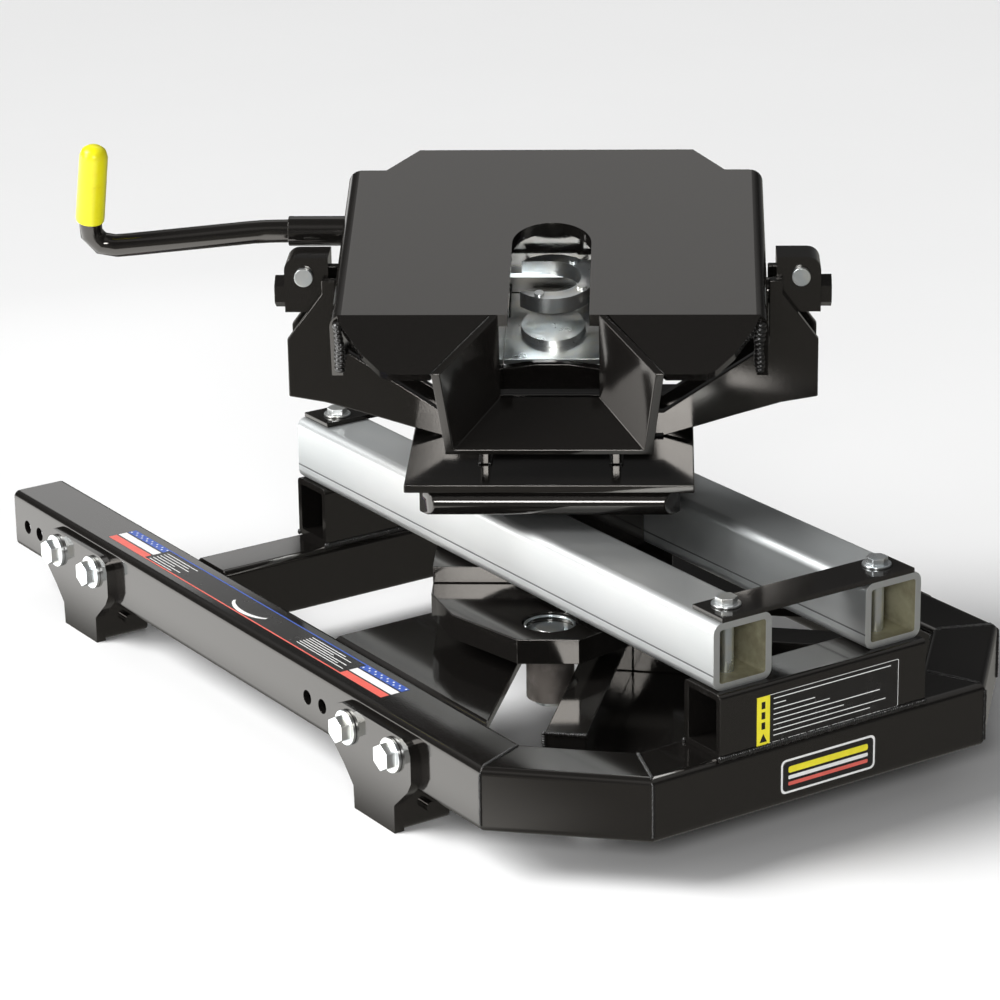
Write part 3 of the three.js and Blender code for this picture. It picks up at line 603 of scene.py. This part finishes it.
# Small shapes ---------------------------------------------------------------------------------------
def spot(frame_matrix, *millimetres):
    """A point of the head's or the turret's own frame, in the row frame."""
    return frame_matrix @ (Vector(millimetres) * MM)


def round_ring(name, body, centre, up, radius, thick, gap=0.0, look="zinc"):
    """A ring of round wire about an axis, open by the gap angle."""
    turn = up.to_track_quat("Z", "Y")
    steps = 48
    sides = 10
    mesh = bmesh.new()
    rings = []
    for step in range(steps + 1):
        angle = gap / 2 + (2 * math.pi - gap) * step / steps
        outward = Vector((math.cos(angle), math.sin(angle), 0))
        ring = []
        for side in range(sides):
            around = 2 * math.pi * side / sides
            reach = outward * (radius + thick * math.cos(around))
            reach.z = thick * math.sin(around)
            ring.append(mesh.verts.new(centre + turn @ reach))
        rings.append(ring)
    for first, second in zip(rings, rings[1:]):
        for side in range(sides):
            after = (side + 1) % sides
            face = mesh.faces.new((first[side], second[side], second[after], first[after]))
            face.smooth = True
    mesh.faces.new(rings[0])
    mesh.faces.new(rings[-1][::-1])
    bmesh.ops.recalc_face_normals(mesh, faces=mesh.faces)
    return added(new_object(name, mesh_of(mesh, name, [look])), body)


def grade_marks(name, body, centres, out, up):
    """Three raised radial lines on each bolt head."""
    start, long, half, proud = 4.0 * MM, 3.6 * MM, 0.45 * MM, 0.35 * MM
    across = up.cross(out)
    mesh = bmesh.new()
    for centre in centres:
        for turn in (90, 210, 330):
            along = up * math.sin(turn * DEG) + across * math.cos(turn * DEG)
            aside = along.cross(out)
            corners = []
            for reach, shift in ((start, -half), (start + long, -half), (start + long, half), (start, half)):
                corners.append(centre + along * reach + aside * shift)
            low = [mesh.verts.new(corner - out * proud) for corner in corners]
            high = [mesh.verts.new(corner + out * proud) for corner in corners]
            mesh.faces.new(high)
            mesh.faces.new(low[::-1])
            for i in range(4):
                j = (i + 1) % 4
                mesh.faces.new((low[i], low[j], high[j], high[i]))
    bmesh.ops.recalc_face_normals(mesh, faces=mesh.faces)
    return added(new_object(name, mesh_of(mesh, name, ["zinc"])), body)


# Operators, one for each group of pieces ------------------------------------------------------------
class HITCH_OT_frame(bpy.types.Operator):
    """Finish the beams, plates and bars of the base frame"""

    bl_idname = "hitch.frame"
    bl_label = "Base frame"

    def execute(self, context):
        sizes = context.scene.hitch_sizes
        nodes = pair("side_rail") + pair("corner_beam") + ["rear_beam", "front_cross_beam"]
        edged(nodes, sizes.plate_edge * 0.6)
        edged(["cam_plate", "track_pan"] + pair("track_bar"), sizes.plate_edge)
        self.mitre_welds()
        self.bar_welds()
        return {"FINISHED"}

    def mitre_welds(self):
        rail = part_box("side_rail_left")
        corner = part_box("corner_beam_left")
        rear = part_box("rear_beam")
        top = rail[1].z
        low = rail[0].z
        turn = 7 * MM
        inner_x = rail[1].x
        outer_x = rail[0].x
        mitre_y = corner[1].y
        slope = math.tan(22.5 * DEG)
        for sign, side in ((1, "left"), (-1, "right")):
            first = Vector((outer_x, mitre_y - slope * (inner_x - outer_x), 0))
            second = Vector((inner_x, mitre_y, 0))
            third = Vector((rear[0].x, rear[0].y, 0))
            fourth = Vector((rear[0].x + slope * (rear[1].y - rear[0].y), rear[1].y, 0))
            lines = []
            for outside, inside in ((first, second), (third, fourth)):
                step = (inside - outside).normalized() * turn
                ring = [
                    (outside, low + turn),
                    (outside, top - turn),
                    (outside + step, top),
                    (inside - step, top),
                    (inside, top - turn),
                    (inside, low + turn),
                ]
                lines.append([Vector((sign * spot.x, spot.y, height)) for spot, height in ring])
            beads("mitre_welds_" + side, "base_frame", lines, 0.62, seed=3 + sign)

    def bar_welds(self):
        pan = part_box("track_pan")[1].z
        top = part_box("track_bar_left")[1].z
        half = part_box("track_bar_left")
        for sign, side in ((1, "left"), (-1, "right")):
            end = Vector((sign * half[0].x, half[0].y + 26 * MM, 0))
            tip = Vector((sign * (half[0].x + 26 * MM), half[0].y, 0))
            upright = [end + Vector((0, 0, pan)), end + Vector((0, 0, top))]
            foot = [end + Vector((0, 0, pan)), tip + Vector((0, 0, pan))]
            over = [end + Vector((0, 0, top)), tip + Vector((0, 0, top))]
            beads("track_bar_welds_" + side, "base_frame", [upright, foot, over], 0.9, seed=11)


class HITCH_OT_feet(bpy.types.Operator):
    """Finish the foot brackets and their bolts"""

    bl_idname = "hitch.feet"
    bl_label = "Feet"

    def execute(self, context):
        sizes = context.scene.hitch_sizes
        for row in ("front", "rear"):
            edged(pair("foot_bracket_" + row), sizes.plate_edge)
            edged(pair("foot_bolts_" + row), sizes.fine_edge * 1.4)
            for sign, side in ((-1, "left"), (1, "right")):
                low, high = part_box("foot_bolts_" + row + "_" + side)
                face = low.x if sign < 0 else high.x
                middle = (low.y + high.y) / 2
                centres = [Vector((face, middle + way * 38 * MM, 76 * MM)) for way in (-1, 1)]
                name = "grade_marks_" + row + "_" + side
                grade_marks(name, "base_frame", centres, Vector((sign, 0, 0)), Vector((0, 0, 1)))
        return {"FINISHED"}


class HITCH_OT_ways(bpy.types.Operator):
    """Finish the way tubes, their supports, straps and bolts"""

    bl_idname = "hitch.ways"
    bl_label = "Way tubes"

    def execute(self, context):
        sizes = context.scene.hitch_sizes
        for tube in edged(pair("way_tube"), sizes.fine_edge * 1.6, look="tube"):
            self.line_bore(tube)
        for row in ("front", "rear"):
            edged(["tube_support_" + row], sizes.plate_edge)
            edged(["tube_strap_" + row], sizes.fine_edge)
            edged(pair("strap_bolt_" + row), sizes.fine_edge * 1.4)
        self.support_welds()
        return {"FINISHED"}

    def line_bore(self, tube):
        """Faces that look at the tube's own centre line take the bore finish."""
        tube.data.materials.append(finish("tube_bore"))
        spots = [Vector(corner) for corner in tube.bound_box]
        centre = sum(spots, Vector()) / len(spots)
        for face in tube.data.polygons:
            inward = centre - face.center
            inward.y = 0
            if abs(face.normal.y) < 0.5 and face.normal.dot(inward) > 0:
                face.material_index = 1

    def support_welds(self):
        for row in ("front", "rear"):
            low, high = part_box("tube_support_" + row)
            z = low.z + 1 * MM
            lines = [
                [(low.x, low.y, z), (high.x, low.y, z)],
                [(low.x, high.y, z), (high.x, high.y, z)],
            ]
            beads("support_welds_" + row, "base_frame", lines, 1.0, seed=21)


class HITCH_OT_turret(bpy.types.Operator):
    """Finish the carriage, turret plates, cam arm, post and roller"""

    bl_idname = "hitch.turret"
    bl_label = "Carriage and turret"

    def execute(self, context):
        sizes = context.scene.hitch_sizes
        edged(["carriage_block", "turret_bearing_plate", "cam_hub_plate"], sizes.plate_edge)
        edged(["cam_arm"], sizes.plate_edge * 1.3)
        edged(["turret_plate"], sizes.plate_edge)
        edged(pair("wear_pad") + ["turret_post", "roller_pin", "cam_roller"], sizes.fine_edge)
        ring_at = spot(TURRET_FRAME, 0, -177.8, 142)
        round_ring("snap_ring", "turret", ring_at, Vector((0, 0, 1)), 22.6 * MM, 1.3 * MM, gap=30 * DEG)
        return {"FINISHED"}


class HITCH_OT_yoke(bpy.types.Operator):
    """Finish the yoke plates, gussets, pivot blocks, bolts and pins"""

    bl_idname = "hitch.yoke"
    bl_label = "Yoke"

    def execute(self, context):
        sizes = context.scene.hitch_sizes
        edged(["yoke_rear_plate", "yoke_front_plate"] + pair("yoke_gusset"), sizes.plate_edge)
        edged(pair("pivot_block"), sizes.plate_edge)
        edged(pair("clamp_bolt") + pair("pitch_pin"), sizes.fine_edge)
        rear, front, foot = -31, 31, 274
        lines = [
            [spot(TURRET_FRAME, -102, rear, foot), spot(TURRET_FRAME, 102, rear, foot)],
            [spot(TURRET_FRAME, -102, front, foot), spot(TURRET_FRAME, 102, front, foot)],
        ]
        for sign in (-1, 1):
            for x in (55.5 * sign, 64.5 * sign):
                lines.append([spot(TURRET_FRAME, x, -32, foot), spot(TURRET_FRAME, x, -111, foot)])
        beads("yoke_welds", "turret", lines, 0.7, seed=31)
        block_lines = []
        for sign in (-1, 1):
            for y in (rear + 10.5, front - 10.5):
                inside = spot(TURRET_FRAME, sign * 207.5, y, 392)
                block_lines.append([inside, spot(TURRET_FRAME, sign * 222, y, 392)])
        beads("pivot_block_welds", "turret", block_lines, 0.8, seed=37)
        return {"FINISHED"}


class HITCH_OT_head(bpy.types.Operator):
    """Finish the head plate, funnel, lock box and lock ring"""

    bl_idname = "hitch.head"
    bl_label = "Head"

    def execute(self, context):
        sizes = context.scene.hitch_sizes
        edged(["head_plate"], sizes.bend_edge * 0.6, angle=24 * DEG, segments=3)
        edged(["throat_funnel"], sizes.plate_edge * 0.7, angle=20 * DEG)
        edged(["lock_box"], sizes.plate_edge * 0.8)
        edged(["lock_floor", "lock_ring"], sizes.fine_edge)
        for sign, side in ((-1, "left"), (1, "right")):
            corner = [
                spot(DECK_FRAME, sign * 190, -127.5, -10),
                spot(DECK_FRAME, sign * 188.5, -128.5, -30),
                spot(DECK_FRAME, sign * 189.5, -128, -56),
            ]
            beads("corner_welds_" + side, "head", [corner], 1.9, seed=41 + sign)
            seam = [spot(DECK_FRAME, sign * 53, -127, -2), spot(DECK_FRAME, sign * 104, -176, -31)]
            beads("funnel_welds_" + side, "head", [seam], 0.45, seed=51 + sign)
        return {"FINISHED"}


class HITCH_OT_handle(bpy.types.Operator):
    """Finish the pull handle, its sleeve, grip and drive plate"""

    bl_idname = "hitch.handle"
    bl_label = "Pull handle"

    def execute(self, context):
        sizes = context.scene.hitch_sizes
        edged(["handle_sleeve", "drive_plate"], sizes.fine_edge)
        edged(["handle_bar", "handle_grip"], sizes.fine_edge)
        return {"FINISHED"}


# Labels ---------------------------------------------------------------------------------------------
class Sheet:
    """A thin printed film: rectangles, discs and arcs stacked on a flat face."""

    def __init__(self, origin, across, up, film):
        self.origin = Vector(origin)
        self.across = unit(across)
        self.up = unit(up)
        self.out = self.across.cross(self.up)
        self.film = film
        self.body = bmesh.new()
        self.looks = []

    def outline(self, points, look, layer=1):
        """A prism of the given outline, in metres across and up; layer sets how far it stands out."""
        if look not in self.looks:
            self.looks.append(look)
        slot = self.looks.index(look)
        base = 0.02 * MM
        top = base + self.film * (0.4 + 0.2 * layer)
        rings = []
        for rise in (base, top):
            ring = [
                self.body.verts.new(self.origin + self.across * a + self.up * b + self.out * rise)
                for a, b in points
            ]
            rings.append(ring)
        faces = [self.body.faces.new(rings[1]), self.body.faces.new(rings[0][::-1])]
        count = len(points)
        for i in range(count):
            j = (i + 1) % count
            faces.append(self.body.faces.new((rings[0][i], rings[0][j], rings[1][j], rings[1][i])))
        for face in faces:
            face.material_index = slot

    def bar(self, a0, a1, b0, b1, look, layer=1, corner=0.0):
        if not corner:
            self.outline([(a0, b0), (a1, b0), (a1, b1), (a0, b1)], look, layer)
            return
        points = []
        corners = ((a1, b0, -90), (a1, b1, 0), (a0, b1, 90), (a0, b0, 180))
        for a, b, start in corners:
            centre_a = a + (corner if a == a0 else -corner)
            centre_b = b + (corner if b == b0 else -corner)
            for step in range(5):
                angle = (start + 22.5 * step) * DEG
                points.append(
                    (centre_a + corner * math.cos(angle), centre_b + corner * math.sin(angle))
                )
        self.outline(points, look, layer)

    def disc(self, a, b, radius, look, layer=2, sides=10):
        turn = 2 * math.pi / sides
        spots = [(a + radius * math.cos(i * turn), b + radius * math.sin(i * turn)) for i in range(sides)]
        self.outline(spots, look, layer)

    def lines(self, a0, a1, b_top, pitch, lengths, look="white", thick=0.9 * MM):
        """Ruled lines in place of small print; each length is a share of the full width."""
        for row, share in enumerate(lengths):
            b = b_top - row * pitch
            self.bar(a0, a0 + (a1 - a0) * share, b - thick, b, look, 2)

    def piece(self, name, body):
        mesh = mesh_of(self.body, name, self.looks)
        return added(new_object(name, mesh), body)


class HITCH_OT_labels(bpy.types.Operator):
    """Add the plain labels on the rail, the rear support and the rear beam"""

    bl_idname = "hitch.labels"
    bl_label = "Labels"

    def execute(self, context):
        film = context.scene.hitch_sizes.film
        self.rail_strip(film)
        self.care_label(film)
        self.badge(film)
        return {"FINISHED"}

    def rail_strip(self, film):
        low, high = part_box("side_rail_left")
        middle = Vector(((low.x + high.x) / 2, -5 * MM, high.z))
        strip = Sheet(middle, (0, -1, 0), (1, 0, 0), film)
        half = 257 * MM
        wide = 15.5 * MM
        bar_long = 72 * MM
        strip.bar(-half, half, -wide, wide, "film", 0)
        for sign in (-1, 1):
            ends = sorted((sign * half, sign * (half - bar_long)))
            strip.bar(*ends, -wide, -wide + 9 * MM, "red", 1)
            strip.bar(*ends, -wide + 11 * MM, -wide + 20 * MM, "white", 1)
            strip.bar(*ends, -wide + 22 * MM, wide, "blue", 1)
            for i in range(14):
                a = ends[0] + (i + 0.5) * bar_long / 14
                b = wide - (2.6 if i % 2 else 6.2) * MM
                strip.disc(a, b, 1.1 * MM, "white", 2)
        inner = half - bar_long
        strip.bar(-inner, inner, -wide, -wide + 1.6 * MM, "red", 1)
        strip.bar(-inner, inner, wide - 1.6 * MM, wide, "blue", 1)
        shares = (1.0, 0.82, 0.94, 0.6, 0.9, 0.72)
        strip.lines(-inner + 6 * MM, -inner + 66 * MM, 9 * MM, 4 * MM, shares)
        strip.lines(inner - 88 * MM, inner - 6 * MM, 10 * MM, 3.4 * MM, shares[::-1])
        swoosh = []
        for i in range(13):
            angle = (205 + 130 * i / 12) * DEG
            swoosh.append((34 * MM * math.cos(angle), 6 * MM + 19 * MM * math.sin(angle)))
        for i in range(13):
            angle = (335 - 130 * i / 12) * DEG
            swoosh.append((33 * MM * math.cos(angle), 7 * MM + 15.5 * MM * math.sin(angle)))
        strip.outline(swoosh, "white", 2)
        strip.piece("rail_label", "base_frame")

    def care_label(self, film):
        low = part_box("tube_support_rear")[0]
        middle = Vector((4 * MM, low.y, 131 * MM))
        label = Sheet(middle, (1, 0, 0), (0, 0, 1), film)
        label.bar(-78 * MM, 78 * MM, -22.5 * MM, 22.5 * MM, "white", 0, 1.5 * MM)
        label.bar(-77.4 * MM, 77.4 * MM, -22 * MM, 22 * MM, "film", 1, 1.2 * MM)
        label.bar(-78 * MM, -64 * MM, -22.5 * MM, 22.5 * MM, "yellow", 2)
        label.outline([(-75 * MM, -20 * MM), (-67 * MM, -20 * MM), (-71 * MM, -12 * MM)], "film", 3)
        for i in range(3):
            label.bar(-73 * MM, -69 * MM, (-8 + 9.5 * i) * MM, (-1.5 + 9.5 * i) * MM, "film", 3)
        shares = (0.97, 0.10, 0.34, 0.46, 0.88, 0.58, 0.93, 0.80)
        label.lines(-60 * MM, 73 * MM, 18.5 * MM, 4.9 * MM, shares, thick=0.8 * MM)
        label.piece("care_label", "base_frame")

    def badge(self, film):
        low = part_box("rear_beam")[0]
        middle = Vector((5 * MM, low.y, 72 * MM))
        badge = Sheet(middle, (1, 0, 0), (0, 0, 1), film)
        badge.bar(-52 * MM, 52 * MM, -16 * MM, 16 * MM, "white", 0, 5 * MM)
        badge.bar(-50 * MM, 50 * MM, -14 * MM, 14 * MM, "film", 1, 4 * MM)
        badge.bar(-44 * MM, 44 * MM, 3 * MM, 9 * MM, "yellow", 2, 2 * MM)
        badge.bar(-44 * MM, 44 * MM, -3 * MM, 0.5 * MM, "white", 2, 1 * MM)
        badge.bar(-44 * MM, 44 * MM, -9 * MM, -5.5 * MM, "red", 2, 1 * MM)
        badge.piece("rear_badge", "base_frame")


# Stage ----------------------------------------------------------------------------------------------
class HITCH_OT_stage(bpy.types.Operator):
    """Set the floor, the soft light and the camera"""

    bl_idname = "hitch.stage"
    bl_label = "Stage"

    def execute(self, context):
        scene = context.scene
        scene.view_settings.view_transform = "Standard"
        self.floor()
        self.world(scene)
        self.lights()
        self.camera(scene)
        return {"FINISHED"}

    def floor(self):
        body = bmesh.new()
        bmesh.ops.create_grid(body, x_segments=1, y_segments=1, size=14)
        mesh = bpy.data.meshes.new("floor")
        body.to_mesh(mesh)
        body.free()
        mesh.materials.append(self.floor_finish())
        floor = new_object("floor", mesh)

    def floor_finish(self):
        """A pale floor which glossy rays see as an emission: a painted reflection, bright on the left and dark
        behind the hitch.
        """
        look = Finish("pale_floor")
        grain = look.noise(3, 3)
        pale = look.mix(grain, (0.86, 0.86, 0.86), (0.88, 0.88, 0.88))
        seen = look.node("ShaderNodeBsdfPrincipled", None, {"Base Color": pale, "Roughness": 0.7})
        where = look.node("ShaderNodeTexCoord", out=3)
        across = look.node("ShaderNodeSeparateXYZ", None, {0: where}, out=0)
        along = look.node("ShaderNodeSeparateXYZ", None, {0: where}, out=1)
        # painted reflection mask: 1 to the left of the hitch and short of its rear, where reflected light is
        # painted bright
        left = (across * -1.0).over(0.33, 0.05) * along.over(-0.5, 0.15)
        # painted reflection colours: dark behind the hitch, glowing bright on the left
        tone = look.mix(left, (0.22, 0.215, 0.20), (2.3, 2.3, 2.27))
        # the glossy rays see this emission as a painted reflection, not the pale floor
        painted_reflection = look.node("ShaderNodeEmission", None, {"Color": tone, "Strength": 1.0})
        glossy = look.node("ShaderNodeLightPath", out=3)
        look.node_output(look.node("ShaderNodeMixShader", None, {0: glossy, 1: seen, 2: painted_reflection}))
        return look.material

    def world(self, scene):
        world = bpy.data.worlds.new("studio")
        world.use_nodes = True
        scene.world = world
        tree = world.node_tree
        tree.nodes.clear()
        where = tree_node(tree, "ShaderNodeTexCoord").outputs["Generated"]
        height = tree_node(tree, "ShaderNodeSeparateXYZ", None, {0: where}).outputs["Z"]
        ramp = tree_node(tree, "ShaderNodeValToRGB", None, {0: height})
        stops = [(0.0, 0.14), (0.33, 0.04), (0.50, 0.10), (0.66, 0.32), (0.80, 0.36), (0.90, 0.11), (1.0, 0.07)]
        Finish.set_stops(ramp.color_ramp, [(place, (tone, tone, tone)) for place, tone in stops])
        back = tree_node(
            tree, "ShaderNodeBackground", None, {"Color": ramp.outputs["Color"], "Strength": 1.0}
        )
        output = tree_node(tree, "ShaderNodeOutputWorld")
        tree.links.new(back.outputs["Background"], output.inputs["Surface"])

    def soft_box(self, name, place, aim, size, power, tone=(1, 1, 1)):
        light = bpy.data.lights.new(name, "AREA")
        light.shape = "RECTANGLE"
        light.size, light.size_y = size
        light.energy = power
        light.color = tone
        lamp = bpy.data.objects.new(name, light)
        bpy.context.scene.collection.objects.link(lamp)
        lamp.location = place
        lamp.visible_camera = False
        lamp.rotation_euler = (Vector(aim) - Vector(place)).to_track_quat("-Z", "Y").to_euler()

    def lights(self):
        sun = bpy.data.lights.new("sky_light", "SUN")
        sun.energy = 3.3
        sun.angle = 32 * DEG
        lamp = bpy.data.objects.new("sky_light", sun)
        bpy.context.scene.collection.objects.link(lamp)
        lamp.rotation_euler = Vector((0.62, -0.30, -0.72)).to_track_quat("-Z", "Y").to_euler()
        centre = Vector((0, -0.1, 0.35))
        self.soft_box("front_box", (1.25, 1.75, 2.35), centre, (1.7, 1.1), 3)
        self.soft_box("left_box", (-2.6, 0.4, 1.2), centre, (1.0, 1.3), 30)
        self.soft_box("throat_box", (-1.25, -1.85, 0.95), centre, (0.5, 0.4), 16)
        self.soft_box("far_strip", (0.25, 1.35, 0.5), centre, (0.6, 0.3), 0.6)

    def camera(self, scene):
        heading = 33.417 * DEG
        down = 19.494 * DEG
        roll = -0.825 * DEG
        look_at = Vector((-0.02523, -0.0903, 0.195))
        forward = Vector(
            (math.sin(heading) * math.cos(down), math.cos(heading) * math.cos(down), -math.sin(down))
        )
        right = Vector((math.cos(heading), -math.sin(heading), 0))
        up = right.cross(forward)
        level_right = right * math.cos(roll) + up * math.sin(roll)
        level_up = up * math.cos(roll) - right * math.sin(roll)
        data = bpy.data.cameras.new("camera")
        data.lens = 135.65
        data.sensor_width = 36
        data.shift_x = -0.005
        data.shift_y = -0.00424
        data.clip_end = 60
        camera = bpy.data.objects.new("camera", data)
        scene.collection.objects.link(camera)
        camera.matrix_world = Matrix((level_right, level_up, -forward)).transposed().to_4x4()
        camera.location = look_at - forward * 3.5972
        scene.camera = camera


# Panel and registration -----------------------------------------------------------------------------
STEPS = (
    HITCH_OT_stage,
    HITCH_OT_frame,
    HITCH_OT_feet,
    HITCH_OT_ways,
    HITCH_OT_turret,
    HITCH_OT_yoke,
    HITCH_OT_head,
    HITCH_OT_handle,
    HITCH_OT_labels,
)


class HITCH_PT_panel(bpy.types.Panel):
    """The hitch's steps and settings in the sidebar"""

    bl_idname = "HITCH_PT_panel"
    bl_label = "Fifth Wheel Hitch"
    bl_space_type = "VIEW_3D"
    bl_region_type = "UI"
    bl_category = "Hitch"

    def draw(self, context):
        layout = self.layout
        for step in STEPS:
            layout.operator(step.bl_idname)
        for group in (context.scene.hitch_sizes, context.scene.hitch_colours):
            box = layout.box()
            for name in group.__annotations__:
                box.prop(group, name)


CLASSES = (HitchSizes, HitchColours, *STEPS, HITCH_PT_panel)


def register():
    for item in CLASSES:
        bpy.utils.register_class(item)
    bpy.types.Scene.hitch_sizes = PointerProperty(type=HitchSizes)
    bpy.types.Scene.hitch_colours = PointerProperty(type=HitchColours)


def unregister():
    del bpy.types.Scene.hitch_colours
    del bpy.types.Scene.hitch_sizes
    for item in reversed(CLASSES):
        bpy.utils.unregister_class(item)


def main():
    register()
    for step in STEPS:
        group, name = step.bl_idname.split(".")
        getattr(getattr(bpy.ops, group), name)()


if __name__ == "__main__":
    main()
